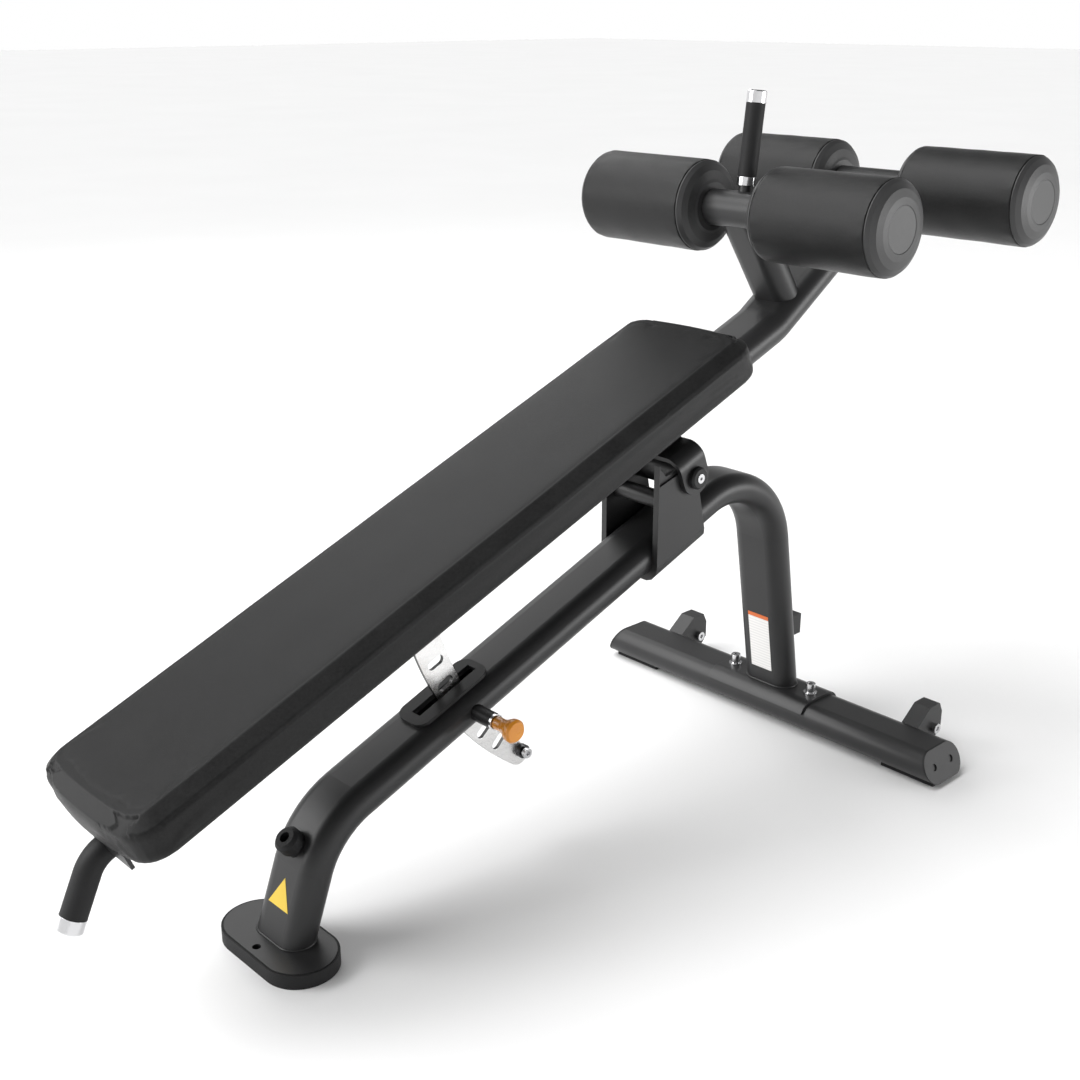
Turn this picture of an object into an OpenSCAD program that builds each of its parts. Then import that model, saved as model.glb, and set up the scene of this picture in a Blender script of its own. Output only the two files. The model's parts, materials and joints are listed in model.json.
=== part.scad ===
// Adjustable decline bench with four foam rollers.
// Millimetres, +Z up, +X from the head end towards the rollers, symmetry plane Y = 0.
// Node names: see NODES.

/* [Overall layout] */
// X of the front leg axis at the floor
foot_x = -520.85; // [-560:0.05:-500]
// Incline of the bench above horizontal at rest
incline = 21.2; // [10:0.1:35]
// X of the tilt pivot, measured from the front leg axis
pivot_x = 754; // [700:0.5:800]
// Height of the tilt pivot
pivot_z = 535.5; // [500:0.5:570]

/* [Flat oval frame tube] */
// Width of the flat oval tube
tube_w = 100; // [60:1:140]
// Thickness of the flat oval tube
tube_t = 52; // [30:1:70]
// Wall thickness of the flat oval tube
tube_wall = 3; // [2:0.5:6]

/* [Base run] */
// Angle of the front leg above horizontal
leg_angle = 70; // [55:1:90]
// Angle of the long rail above horizontal
rail_angle = 21; // [10:0.5:35]
// Angle of the rear leg below horizontal
rear_angle = 80; // [60:1:90]
// Height of the front corner of the run
corner1_z = 173.5; // [120:0.5:240]
// Length of the rail between its two corners
rail_len = 989.5; // [700:0.5:1200]
// Centreline radius of the front bend
front_bend_r = 138; // [80:1:200]
// Centreline radius of the rear bend
rear_bend_r = 139; // [80:1:200]

/* [Front foot] */
// Half length of the straight side of the foot
foot_half = 48.5; // [20:1:90]
// Corner radius of the foot
foot_r = 54.4; // [30:0.1:80]
// Height of the foot
foot_h = 22; // [10:0.1:40]
// Foot centre behind (+) or ahead (-) of the leg axis
foot_dx = -3.3; // [-20:0.1:20]
// Width of the rubber rim round the foot plate
foot_rim = 3.5; // [2:0.1:8]
// Radius of the floor anchor hole
anchor_r = 6; // [3:0.1:8]
// Distance of the anchor hole ahead of the leg axis
anchor_dx = 41; // [30:0.5:55]

/* [Rear stabiliser] */
// X of the stabiliser axis, from the front leg axis
stab_x = 1069; // [1000:0.5:1140]
// Height of the stabiliser underside
stab_z = 8.7; // [3:0.1:20]
// Half length of the stabiliser along its top
stab_top_half = 349.7; // [250:0.1:400]
// Half length of the stabiliser along its underside
stab_low_half = 376; // [260:0.1:430]
// Thickness of the end caps
cap_t = 4; // [2:0.5:10]
// Radius of the holes in the end caps
cap_hole_r = 6; // [2:0.1:8]
// Distance of the cap holes either side of the cap middle
cap_hole_dx = 24; // [10:0.5:35]
// Thickness of the saddle plate
saddle_t = 5; // [3:0.5:10]
// Half length of the saddle plate
saddle_half = 107; // [80:0.5:150]
// Distance of the saddle screws from the middle
saddle_screw_y = 86.7; // [70:0.1:100]
// Inner end of the rubber ground pads
gpad_in = 262; // [200:1:300]
// Outer end of the rubber ground pads
gpad_out = 365; // [310:1:372]
// Width of the rubber ground pads
gpad_w = 54; // [30:1:80]

/* [Transport wheels] */
// Distance of the wheels from the middle
wheel_y = 271.3; // [200:0.1:320]
// X of the wheel axis, from the front leg axis
wheel_x = 1158; // [1140:0.5:1200]
// Height of the wheel axis
wheel_z = 41; // [35:0.5:60]
// Radius of the wheels
wheel_r = 33; // [20:0.5:40]
// Width of the wheels
wheel_w = 18; // [10:0.5:22]
// Overall width of the wheel bracket
wheel_br_w = 32.7; // [28:0.1:45]
// Plate thickness of the wheel bracket
wheel_br_t = 4; // [2:0.5:6]
// Height of the wheel bracket top
wheel_br_z = 83.7; // [75:0.1:95]
// Radius of the wheel bolt shank
wheel_bolt_r = 6; // [4:0.1:8]

/* [Tilt pivot] */
// Radius of the pivot shaft
shaft_r = 12.5; // [8:0.1:18]
// Outer radius of the pivot sleeve
sleeve_r = 23.5; // [18:0.5:30]
// Half width between the base bracket plates
plate_in = 50; // [50:0.5:60]
// Thickness of the base bracket plates
plate_t = 11; // [6:0.5:14]
// Radius of the base bracket round the pivot
plate_r = 24.5; // [20:0.5:26]
// Radius of the lower cross tube
cross_r = 14.5; // [8:0.5:20]
// Inner half width of the hinge bracket
ear_in = 62; // [61.3:0.1:70]
// Thickness of the hinge bracket
ear_t = 8; // [5:0.5:12]
// Half length of the hinge bracket along the bench
ear_half = 28.5; // [24:0.5:40]
// Height of the hinge bracket top above the pivot
ear_top = 48; // [40:0.5:60]
// Outer shoulder radius of the hinge bracket
ear_shoulder = 25; // [15:0.5:35]
// Radius of the pivot caps
pcap_r = 18; // [12:0.5:24]
// Thickness of the pivot caps
pcap_t = 9.5; // [6:0.5:16]

/* [Bench frame] */
// Height of the top tube centreline above the pivot, square to the bench
top_n = 100.3; // [90:0.1:110]
// Position of the head end of the top tube along the bench
top_head_u = -1000; // [-1020:1:-900]
// Position of the bend of the top tube along the bench
top_bend_u = 284.6; // [240:0.1:320]
// Centreline radius of the top tube bend
top_bend_r = 100; // [80:5:300]
// Width of the roller strut
strut_w = 80; // [50:1:100]
// Thickness of the roller strut
strut_t = 50; // [30:1:60]
// Lean of the roller strut, from the +X direction
strut_angle = 124.9; // [100:0.1:150]
// X of the near roller axle, from the front leg axis
near_x = 917.1; // [880:0.1:960]
// Height of the near roller axle
near_z = 923.9; // [880:0.1:960]
// X of the far roller axle, from the front leg axis
far_x = 1280.2; // [1240:0.1:1330]
// Height of the far roller axle
far_z = 933.1; // [890:0.1:970]
// Extra distance of the far rollers from the middle
far_spread = 15.5; // [0:0.5:40]
// Radius of the axle hub tube
hub_r = 28.5; // [20:0.5:35]
// Half length of the axle hub tube
hub_half = 56; // [40:0.5:60]
// Radius of the roller shafts
axle_r = 12.5; // [8:0.1:16]

/* [Pad] */
// Height of the pad top above the pivot, square to the bench
pad_n = 189.3; // [170:0.1:210]
// Thickness of the pad with its board
pad_t = 60.9; // [40:0.1:80]
// Thickness of the board inside the pad
board_t = 15; // [9:0.5:20]
// Half width of the pad
pad_half_w = 128.5; // [100:0.5:160]
// Head end of the pad along the bench
pad_head_u = -1031; // [-1100:1:-950]
// Roller end of the pad along the bench
pad_foot_u = 146; // [100:1:200]
// Bevel of the pad top, across the pad
bevel_w = 23; // [5:0.5:40]
// Bevel of the pad top, downwards
bevel_h = 16.4; // [5:0.1:30]
// Corner radius of the pad in plan
pad_corner_r = 43; // [20:1:60]
// Outward bow of the pad ends
pad_bow = 6; // [0:0.5:15]

/* [Rollers] */
// Radius of the foam rollers
roller_r = 72.5; // [50:0.5:100]
// Inner end of the roller foam from the middle
roller_in = 73.9; // [60:0.1:90]
// Outer end of the roller foam from the middle
roller_out = 280.9; // [200:0.1:320]
// Outer face of the roller caps from the middle
disc_y = 298.2; // [290:0.1:310]
// Radius of the flat disc on the roller caps
disc_r = 34; // [20:0.5:50]
// Inner radius of the roller foam
core_r = 30; // [20:0.5:40]

/* [Lock ladder] */
// Radius of the hole circle of the ladder about the pivot
ladder_r = 510; // [480:0.5:540]
// Inner radius of the ladder plate
ladder_in = 487; // [470:0.5:500]
// Outer radius of the ladder plate about its own centre
ladder_out = 530; // [520:0.5:550]
// Radial inset of each further slot down the ladder
slot_creep = 2; // [0:0.5:2.5]
// Thickness of the ladder plate
ladder_t = 6; // [4:0.5:10]
// Angle between ladder slots
slot_step = 4.65; // [3:0.05:8]
// Angle below horizontal of the slot in use at rest
slot_rest = 31.1; // [25:0.1:40]
// Length of the ladder slots
slot_len = 29; // [20:0.5:40]
// Width of the ladder slots
slot_w = 15; // [10:0.5:16]
// Radius of the stop bolt from the pivot
stop_r = 497.5; // [490:0.5:520]
// Angle below horizontal of the stop bolt
stop_angle = 51.35; // [48:0.05:55]

/* [Lock pin] */
// Position of the pin along the rail from the front corner
pin_s = 272.6; // [240:0.1:300]
// Radius of the plunger
plunger_r = 6; // [4:0.1:6.3]
// Outer radius of the pin barrel
barrel_r = 12.3; // [9:0.1:16]
// Radius of the knob
knob_r = 17.5; // [12:0.5:25]
// Gap left between the drawn plunger and the ladder
pin_gap = 1.5; // [0.5:0.1:5]

/* [Handles] */
// Radius of the grips
grip_r = 17.5; // [12:0.5:20]
// Radius of the head handle tube
handle_r = 12.5; // [8:0.5:15]
// Height of the head handle above the pivot, square to the bench
handle_n = 104; // [95:0.5:115]
// Position of the head handle bend along the bench
handle_bend_u = -1043; // [-1080:1:-1020]
// Downward bend of the head handle
handle_bend = 43.6; // [20:0.1:90]
// Centreline radius of the head handle bend
handle_bend_r = 50; // [30:1:90]
// Length of the head handle beyond its bend
handle_drop = 95; // [60:0.5:140]
// Lean of the upright handle towards the rollers
upright_lean = 7; // [0:0.5:20]
// Radius of the upright grip
upright_r = 15; // [12:0.5:20]
// Length of the upright handle from the axle middle
upright_len = 180.4; // [150:0.1:220]

/* [Hidden] */
$fn = 96;
corner1 = [corner1_z / tan(leg_angle), corner1_z];
corner2 = corner1 + rail_len * [cos(rail_angle), sin(rail_angle)];
rail_up = [-sin(rail_angle), cos(rail_angle)];
pivot = [pivot_x, pivot_z];
stab_top = stab_z + tube_t;
bend_k = pivot + top_bend_u * [cos(incline), sin(incline)]
    + top_n * [-sin(incline), cos(incline)];
far_axle = [far_x, far_z];
near_axle = [near_x, near_z];
top_rise = atan2(far_axle[1] - bend_k[1], far_axle[0] - bend_k[0]);
board_n = pad_n - pad_t;
run_gap = 0.05;
bend_step = 0.1;
lap = 2;
far_cut = 2000;
slots = [-2, -1, 0, 1, 2, 3];

// Everything below is measured from the front leg axis at the floor.
module in_frame() {
    translate([foot_x, 0, 0]) children();
}

// Bench frame: X along the bench from the pivot, Z square to the bench.
module on_bench() {
    in_frame() translate([pivot_x, 0, pivot_z]) rotate([0, -incline, 0]) children();
}

// Rail frame: X along the rail from the front corner, Z square to the rail.
module on_rail() {
    in_frame() translate([corner1[0], 0, corner1[1]]) rotate([0, -rail_angle, 0]) children();
}

// Flat oval section with its long side across the tube.
module oval(w, t) {
    square([t, w - t], center = true);
    for (s = [-1, 1]) translate([0, s * (w - t) / 2]) circle(d = t);
}

// Straight oval bar in the XZ plane between two points.
module oval_bar(a, b, w, t) {
    d = b - a;
    translate([a[0], 0, a[1]])
        rotate([0, 90 - atan2(d[1], d[0]), 0])
        linear_extrude(height = norm(d)) oval(w, t);
}

// Bent oval bar in the XZ plane, from angle a0 anticlockwise by sweep; a hair slimmer
// than the straight bars, which lap over its ends.
module oval_bend(c, r, a0, sweep, w, t) {
    translate([c[0], 0, c[1]])
        rotate([90, 0, 0]) rotate([0, 0, a0])
        rotate_extrude(angle = sweep) translate([r, 0]) oval(w - 2 * bend_step, t - 2 * bend_step);
}

// Plate whose side view is drawn in the XZ plane, lying between y0 and y1.
module side_plate(y0, y1) {
    translate([0, y1, 0]) rotate([90, 0, 0]) linear_extrude(height = y1 - y0) children();
}

// Round bar along Y between y0 and y1.
module y_bar(x, z, r, y0, y1) {
    translate([x, y1, z]) rotate([90, 0, 0]) cylinder(r = r, h = y1 - y0);
}

// Solid of the base run with the given section.
module base_run(w, t) {
    leg = [cos(leg_angle), sin(leg_angle)];
    rail = [cos(rail_angle), sin(rail_angle)];
    rear = [cos(rear_angle), -sin(rear_angle)];
    t1 = front_bend_r * tan((leg_angle - rail_angle) / 2);
    t2 = rear_bend_r * tan((rail_angle + rear_angle) / 2);
    oval_bar([0, 0] - 20 * leg, corner1 - (t1 - lap) * leg, w, t);
    oval_bend(corner1 + t1 * rail - front_bend_r * rail_up, front_bend_r,
        rail_angle + 90, leg_angle - rail_angle, w, t);
    oval_bar(corner1 + (t1 - lap) * rail, corner2 - (t2 - lap) * rail, w, t);
    oval_bend(corner2 - t2 * rail - rear_bend_r * rail_up, rear_bend_r,
        90 - rear_angle, rail_angle + rear_angle, w, t);
    oval_bar(corner2 + (t2 - lap) * rear, corner2 + 490 * rear, w, t);
}

// Slot through the rail for the ladder plate.
module rail_slot(n0, n1) {
    slot_s = [206, 319];
    half = 9;
    translate([slot_s[0], -half, n0]) cube([slot_s[1] - slot_s[0], 2 * half, n1 - n0]);
}

module base_tube() {
    saddle_z = stab_top + saddle_t;
    color("#1b1b1c") difference() {
        in_frame() difference() {
            base_run(tube_w, tube_t);
            base_run(tube_w - 2 * tube_wall, tube_t - 2 * tube_wall);
            translate([-200, -100, foot_h - 200]) cube([500, 200, 200]);
            translate([900, -100, saddle_z - 200]) cube([400, 200, 200]);
        }
        on_rail() rail_slot(-tube_t, tube_t);
        on_rail() y_bar(pin_s, 0, barrel_r, -60, -43);
    }
}

// Foot outline.
module foot_shape(r) {
    square([2 * r, 2 * foot_half], center = true);
    for (s = [-1, 1]) translate([0, s * foot_half]) circle(r = r);
}

module foot_plate() {
    color("#1d1d1e") in_frame() difference() {
        translate([foot_dx, 0, foot_h - 12]) linear_extrude(height = 12)
            foot_shape(foot_r - foot_rim);
        translate([-anchor_dx, 0, 0]) cylinder(r = anchor_r, h = 100);
    }
}

module foot_shoe() {
    color("#2a2a2b") in_frame() difference() {
        translate([foot_dx, 0, 0]) linear_extrude(height = foot_h - 1) foot_shape(foot_r);
        translate([foot_dx, 0, foot_h - 12]) linear_extrude(height = 20)
            foot_shape(foot_r - foot_rim);
        translate([-anchor_dx, 0, -1]) cylinder(r = anchor_r, h = 100);
    }
}

// Stabiliser section extruded over its whole length.
module stab_bar(w, t) {
    translate([stab_x, stab_low_half + 1, stab_z + tube_t / 2]) rotate([90, 0, 0])
        linear_extrude(height = 2 * stab_low_half + 2) rotate([0, 0, 90]) oval(w, t);
}

// Region between the two slanted stabiliser ends, drawn in by inset.
module stab_span(inset) {
    slant = (stab_low_half - stab_top_half) / tube_t;
    low = stab_low_half - inset + slant * 2;
    high = stab_top_half - inset - slant * 2;
    translate([stab_x - 100, 0, 0]) rotate([90, 0, 90]) linear_extrude(height = 200)
        polygon([[-low, stab_z - 2], [low, stab_z - 2], [high, stab_top + 2], [-high, stab_top + 2]]);
}

module stabiliser_tube() {
    color("#1b1b1c") in_frame() difference() {
        intersection() {
            stab_bar(tube_w, tube_t);
            stab_span(cap_t);
        }
        stab_bar(tube_w - 2 * tube_wall, tube_t - 2 * tube_wall);
    }
}

// End cap on side s, with two blind holes.
module stab_cap(s) {
    tilt = atan2(stab_low_half - stab_top_half, tube_t);
    mid = (stab_low_half + stab_top_half) / 2;
    in_frame() difference() {
        intersection() {
            stab_bar(tube_w, tube_t);
            stab_span(0);
            translate([stab_x - 100, s > 0 ? 0 : -500, 0]) cube([200, 500, 100]);
        }
        intersection() {
            stab_bar(tube_w + 10, tube_t + 10);
            stab_span(cap_t);
        }
        for (dx = [-1, 1]) translate([stab_x + dx * cap_hole_dx, s * mid, stab_z + tube_t / 2])
            rotate([s * (tilt - 90), 0, 0]) translate([0, 0, -2.5]) cylinder(r = cap_hole_r, h = 20);
    }
}

module stabiliser_cap_left() { color("#252526") stab_cap(1); }

module stabiliser_cap_right() { color("#252526") stab_cap(-1); }

module ground_pads() {
    color("#202021") in_frame() for (s = [-1, 1])
        translate([stab_x - gpad_w / 2, s > 0 ? gpad_in : -gpad_out, 0])
            cube([gpad_w, gpad_out - gpad_in, stab_z]);
}

module saddle_plate() {
    color("#1b1b1c") in_frame() difference() {
        translate([stab_x, saddle_half, stab_z + tube_t / 2]) rotate([90, 0, 0])
            linear_extrude(height = 2 * saddle_half) rotate([0, 0, 90]) difference() {
                oval(tube_w + 2 * saddle_t, tube_t + 2 * saddle_t);
                oval(tube_w, tube_t);
            }
        translate([stab_x - 100, -200, -50]) cube([200, 400, 50 + stab_top - 14]);
    }
}

module saddle_screws() {
    top = stab_top + saddle_t;
    color("#c9cbcd") in_frame() for (s = [-1, 1]) translate([stab_x, s * saddle_screw_y, top]) {
        cylinder(r = 12, h = 2.5);
        difference() {
            cylinder(r = 8.5, h = 19);
            translate([0, 0, 11]) cylinder(r = 4.5, h = 20, $fn = 6);
        }
    }
}

// Side view of the wheel bracket.
module wheel_bracket_shape() {
    back = wheel_x + 22;
    polygon([[1106, 20], [1106, 56.4], [1142, wheel_br_z], [wheel_x + 13, wheel_br_z],
        [back, 66], [back, 34], [wheel_x + 11, 24], [1136, 20]]);
}

module wheel_brackets() {
    inner = wheel_br_w / 2 - wheel_br_t;
    top = wheel_br_z - wheel_br_t;
    color("#1b1b1c") in_frame() for (s = [-1, 1]) difference() {
        side_plate(s * wheel_y - wheel_br_w / 2, s * wheel_y + wheel_br_w / 2) wheel_bracket_shape();
        side_plate(s * wheel_y - inner, s * wheel_y + inner)
            polygon([[1123.5, 0], [1123.5, 64], [1143.5, top], [1200, top], [1200, 0]]);
        stab_bar(tube_w, tube_t);
        y_bar(wheel_x, wheel_z, wheel_bolt_r, s * wheel_y - 50, s * wheel_y + 50);
    }
}

module wheel_bolts() {
    half = wheel_br_w / 2;
    color("#c9cbcd") in_frame() for (s = [-1, 1]) {
        y_bar(wheel_x, wheel_z, wheel_bolt_r, s * wheel_y - half, s * wheel_y + half + 9);
        translate([wheel_x, s * wheel_y - half, wheel_z]) rotate([90, 0, 0]) difference() {
            cylinder(r = 9, h = 8);
            translate([0, 0, 4]) cylinder(r = 4.5, h = 20, $fn = 6);
        }
        y_bar(wheel_x, wheel_z, 10, s * wheel_y + half, s * wheel_y + half + 6);
    }
}

// Transport wheel on side s.
module wheel(s) {
    in_frame() translate([wheel_x, s * wheel_y + wheel_w / 2, wheel_z]) rotate([90, 0, 0])
        rotate_extrude() polygon([[wheel_bolt_r + run_gap, -2], [12, -2], [12, 0], [14, 2],
            [wheel_r - 8, 2], [wheel_r - 6, 0], [wheel_r - 2, 0], [wheel_r, 2],
            [wheel_r, wheel_w - 2], [wheel_r - 2, wheel_w], [wheel_r - 6, wheel_w],
            [wheel_r - 8, wheel_w - 2], [14, wheel_w - 2], [12, wheel_w], [12, wheel_w + 2],
            [wheel_bolt_r + run_gap, wheel_w + 2]]);
}

module wheel_left() { color("#222223") wheel(1); }

module wheel_right() { color("#222223") wheel(-1); }

// Bumper frame: Z along the bumper, origin at its root on the front leg.
module at_bumper() {
    in_frame() translate([44.1, 0, 132.7]) rotate([0, -38, 0]) children();
}

module bumper() {
    color("#161617") difference() {
        at_bumper() difference() {
            rotate_extrude() polygon([[0, -4], [15, -4], [15, 26], [19, 28],
                [19, 43], [14.5, 48], [0, 48]]);
            translate([0, 0, 34]) cylinder(r = 7.5, h = 30);
        }
        in_frame() base_run(tube_w, tube_t);
    }
}

module bumper_screw() {
    color("#8d8f91") at_bumper() translate([0, 0, 34]) difference() {
        cylinder(r = 6, h = 4);
        translate([0, 0, 1.5]) cylinder(r = 2.5, h = 20, $fn = 6);
    }
}

module leg_rest_block() {
    block_z = [148, 186];
    half_w = 20;
    x0 = corner2[0] + (corner2[1] - block_z[0]) / tan(rear_angle);
    color("#1b1b1c") in_frame() difference() {
        translate([x0 - 20, -half_w, block_z[0]]) cube([84, 2 * half_w, block_z[1] - block_z[0]]);
        base_run(tube_w, tube_t);
        translate([x0 - 60, -50, 0]) cube([60, 100, 400]);
    }
}

module pivot_bracket() {
    out = plate_in + plate_t;
    color("#1b1b1c") difference() {
        intersection() {
            on_rail() translate([400, 0, 0]) rotate([90, 0, 90]) linear_extrude(height = 600) difference() {
                polygon([[-out, 200], [-out, -10], [3 - out, -21], [11 - out, -29], [22 - out, -33],
                    [out - 22, -33], [out - 11, -29], [out - 3, -21], [out, -10], [out, 200]]);
                rotate([0, 0, 90]) oval(tube_w, tube_t);
                translate([-plate_in - 0.4, -4]) square([2 * plate_in + 0.8, 250]);
            }
            in_frame() side_plate(-80, 80) {
                polygon([[678, 567], [698, 546], [742, 556], [754, 530], [777, 532],
                    [773, 507], [789, 439], [809, 360], [679, 360]]);
                translate(pivot) circle(r = plate_r);
            }
        }
        in_frame() y_bar(pivot_x, pivot_z, shaft_r + 0.4, -100, 100);
        for (y0 = [-65, 57]) in_frame() side_plate(y0, y0 + 8)
            polygon([[680, 533], [744, 551.6], [744, 580], [680, 580]]);
    }
}

module pivot_sleeve() {
    color("#232324") in_frame() difference() {
        y_bar(pivot_x, pivot_z, sleeve_r, -plate_in - 0.4, plate_in + 0.4);
        y_bar(pivot_x, pivot_z, shaft_r + run_gap, -100, 100);
    }
}

module cross_tube() {
    color("#1b1b1c") in_frame() difference() {
        y_bar(706, 502, cross_r, -plate_in - 0.4, plate_in + 0.4);
        y_bar(706, 502, cross_r - 3, -100, 100);
    }
}

module slot_guide() {
    guide_t = 5;
    guide_w = 62;
    corner = 20;
    span = [189, 330];
    len = span[1] - span[0];
    color("#161617") on_rail() difference() {
        translate([span[0], 0, tube_t / 2]) linear_extrude(height = guide_t) {
            translate([corner, -guide_w / 2]) square([len - 2 * corner, guide_w]);
            translate([0, corner - guide_w / 2]) square([len, guide_w - 2 * corner]);
            for (x = [corner, len - corner], y = [-1, 1])
                translate([x, y * (guide_w / 2 - corner)]) circle(r = corner);
        }
        rail_slot(tube_t / 2 - 1, tube_t);
    }
}

module pin_barrel() {
    color("#161617") on_rail() difference() {
        y_bar(pin_s, 0, barrel_r, -87, -43);
        y_bar(pin_s, 0, plunger_r + run_gap, -100, 0);
        y_bar(pin_s, 0, 10.4, -100, -72);
    }
}

module pin_ring() {
    color("#c9cbcd") on_rail() difference() {
        y_bar(pin_s, 0, barrel_r, -91, -87);
        y_bar(pin_s, 0, 10.4, -100, 0);
    }
}

// Flat sticker on the front face of the rear leg.
module info_label() {
    color("#e9e6df") in_frame() translate([corner2[0], 0, corner2[1]])
        rotate([0, 90 + rear_angle, 0]) translate([tube_t / 2, -22.5, 321])
        cube([0.4, 45, 112.5]);
}

// Triangular sticker on the front face of the front leg.
module warning_label() {
    color("#e3bd2a") in_frame() rotate([0, 90 - leg_angle, 0]) translate([-tube_t / 2, 0, 0])
        rotate([0, -90, 0]) linear_extrude(height = 0.4)
        polygon([[62.8, 23.3], [62.8, -23.3], [104.9, 0]]);
}

// Solid of the top tube with the given section.
module top_run(w, t) {
    bench = [cos(incline), sin(incline)];
    rise = [cos(top_rise), sin(top_rise)];
    head = bend_k + (top_head_u - top_bend_u) * bench;
    cut = top_bend_r * tan((top_rise - incline) / 2);
    oval_bar(head, bend_k - (cut - lap) * bench, w, t);
    oval_bend(bend_k - cut * bench + top_bend_r * [-bench[1], bench[0]], top_bend_r,
        incline - 90, top_rise - incline, w, t);
    oval_bar(bend_k + (cut - lap) * rise, far_axle, w, t);
}

module top_tube() {
    color("#1b1b1c") in_frame() difference() {
        top_run(tube_w, tube_t);
        top_run(tube_w - 2 * tube_wall, tube_t - 2 * tube_wall);
        y_bar(far_x, far_z, hub_r, -100, 100);
    }
}

module top_tube_plug() {
    color("#161617") on_bench() translate([top_head_u - 3, 0, top_n]) difference() {
        rotate([0, 90, 0]) linear_extrude(height = 3) oval(tube_w, tube_t);
        translate([-1, 0, handle_n - top_n]) rotate([0, 90, 0]) cylinder(r = handle_r, h = 10);
    }
}

module hinge_bracket() {
    out = ear_in + ear_t;
    inner_r = ear_shoulder - ear_t;
    color("#1b1b1c") on_bench() difference() {
        intersection() {
            translate([-ear_half, 0, 0]) rotate([90, 0, 90]) linear_extrude(height = 2 * ear_half) difference() {
                union() {
                    translate([-out, -40]) square([2 * out, 40 + ear_top - ear_shoulder]);
                    translate([-out + ear_shoulder, 0]) square([2 * (out - ear_shoulder), ear_top]);
                    for (s = [-1, 1]) translate([s * (out - ear_shoulder), ear_top - ear_shoulder])
                        circle(r = ear_shoulder);
                }
                translate([-ear_in, -50]) square([2 * ear_in, 50 + ear_top - ear_shoulder]);
                translate([-ear_in + inner_r, -50]) square([2 * (ear_in - inner_r), 50 + ear_top - ear_t]);
                for (s = [-1, 1]) translate([s * (ear_in - inner_r), ear_top - ear_shoulder])
                    circle(r = inner_r);
            }
            side_plate(-out - 1, out + 1) {
                circle(r = ear_half);
                translate([-ear_half, 0]) square([2 * ear_half, 60]);
            }
        }
        y_bar(0, 0, shaft_r, -100, 100);
    }
}

module hinge_riser() {
    half = 28;
    color("#1b1b1c") difference() {
        on_bench() translate([-ear_half, -half, ear_top]) cube([2 * ear_half, 2 * half, 55]);
        on_bench() translate([-ear_half + 4, -half - 1, ear_top + 4]) cube([2 * ear_half - 8, 2 * half + 2, 60]);
        in_frame() top_run(tube_w, tube_t);
    }
}

module pivot_shaft() {
    out = ear_in + ear_t;
    color("#9a9c9e") in_frame() y_bar(pivot_x, pivot_z, shaft_r, -out, out);
}

module pivot_caps() {
    out = ear_in + ear_t;
    color("#161617") in_frame() for (s = [-1, 1]) translate([pivot_x, s * out, pivot_z])
        rotate([-s * 90, 0, 0]) difference() {
            rotate_extrude() polygon([[0, 0], [pcap_r, 0], [pcap_r, pcap_t - 3],
                [pcap_r - 3, pcap_t], [0, pcap_t]]);
            translate([0, 0, pcap_t - 2]) cylinder(r = 8, h = 5);
        }
}

module pivot_screws() {
    out = ear_in + ear_t;
    color("#c9cbcd") in_frame() for (s = [-1, 1]) translate([pivot_x, s * out, pivot_z])
        rotate([-s * 90, 0, 0]) translate([0, 0, pcap_t - 2]) difference() {
            cylinder(r = 7.5, h = 3);
            translate([0, 0, 1]) cylinder(r = 3, h = 20, $fn = 6);
        }
}

// Plan of the pad drawn in by inset: rounded corners and bowed ends.
module pad_plan(inset) {
    r = pad_corner_r - inset / 2;
    w = pad_half_w - inset;
    hull() {
        for (e = [pad_head_u + inset + pad_bow + r, pad_foot_u - inset - pad_bow - r], s = [-1, 1])
            translate([e, s * (w - r)]) circle(r = r, $fn = 32);
        translate([pad_head_u + inset + 1, 0]) square([2, w], center = true);
        translate([pad_foot_u - inset - 1, 0]) square([2, w], center = true);
    }
}

// Plan of the board inside the pad.
module board_plan() {
    edge = 6;
    len = pad_foot_u - pad_head_u - 2 * (edge + pad_bow);
    r = pad_corner_r - edge;
    w = pad_half_w - edge;
    translate([pad_head_u + edge + pad_bow, 0]) {
        translate([r, -w]) square([len - 2 * r, 2 * w]);
        translate([0, -w + r]) square([len, 2 * (w - r)]);
        for (x = [r, len - r], s = [-1, 1]) translate([x, s * (w - r)]) circle(r = r);
    }
}

module pad_board() {
    color("#2a2725") on_bench() translate([0, 0, board_n]) linear_extrude(height = board_t)
        board_plan();
}

module pad_cushion() {
    color("#2b2b2c") on_bench() difference() {
        hull() {
            translate([0, 0, board_n]) linear_extrude(height = pad_t - bevel_h) pad_plan(0);
            translate([0, 0, pad_n - 1]) linear_extrude(height = 1) pad_plan(bevel_w);
        }
        translate([0, 0, board_n - 1]) linear_extrude(height = board_t + 1) board_plan();
    }
}

module pad_brackets() {
    low = top_n + tube_t / 2;
    color("#1b1b1c") on_bench() for (u = [-820, -420, 20]) difference() {
        translate([u - 25, -95, low]) cube([50, 190, board_n - low]);
        for (s = [-1, 1]) translate([u, s * 80, 0]) cylinder(r = 4, h = 300);
    }
}

module pad_screws() {
    head_h = 4;
    color("#8d8f91") on_bench() for (u = [-820, -420, 20], s = [-1, 1])
        translate([u, s * 80, top_n + tube_t / 2 - head_h]) {
            cylinder(r = 7, h = head_h);
            cylinder(r = 4, h = board_n - top_n - tube_t / 2 + head_h);
        }
}

module head_bracket() {
    near = 70;
    far = 20;
    front = -1025;
    drop = 23;
    color("#1b1b1c") on_bench() difference() {
        translate([front, -near, board_n - drop]) cube([60, near + far, drop]);
        translate([front + 5, -near - 1, board_n - drop - 1])
            cube([80, near + far + 2, drop - 4]);
        translate([top_head_u - 3, -tube_w / 2, board_n - drop]) cube([80, tube_w, drop - (board_n - top_n - tube_t / 2)]);
        translate([front - 10, 0, handle_n]) rotate([0, 90, 0]) cylinder(r = grip_r, h = 40);
    }
}

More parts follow.
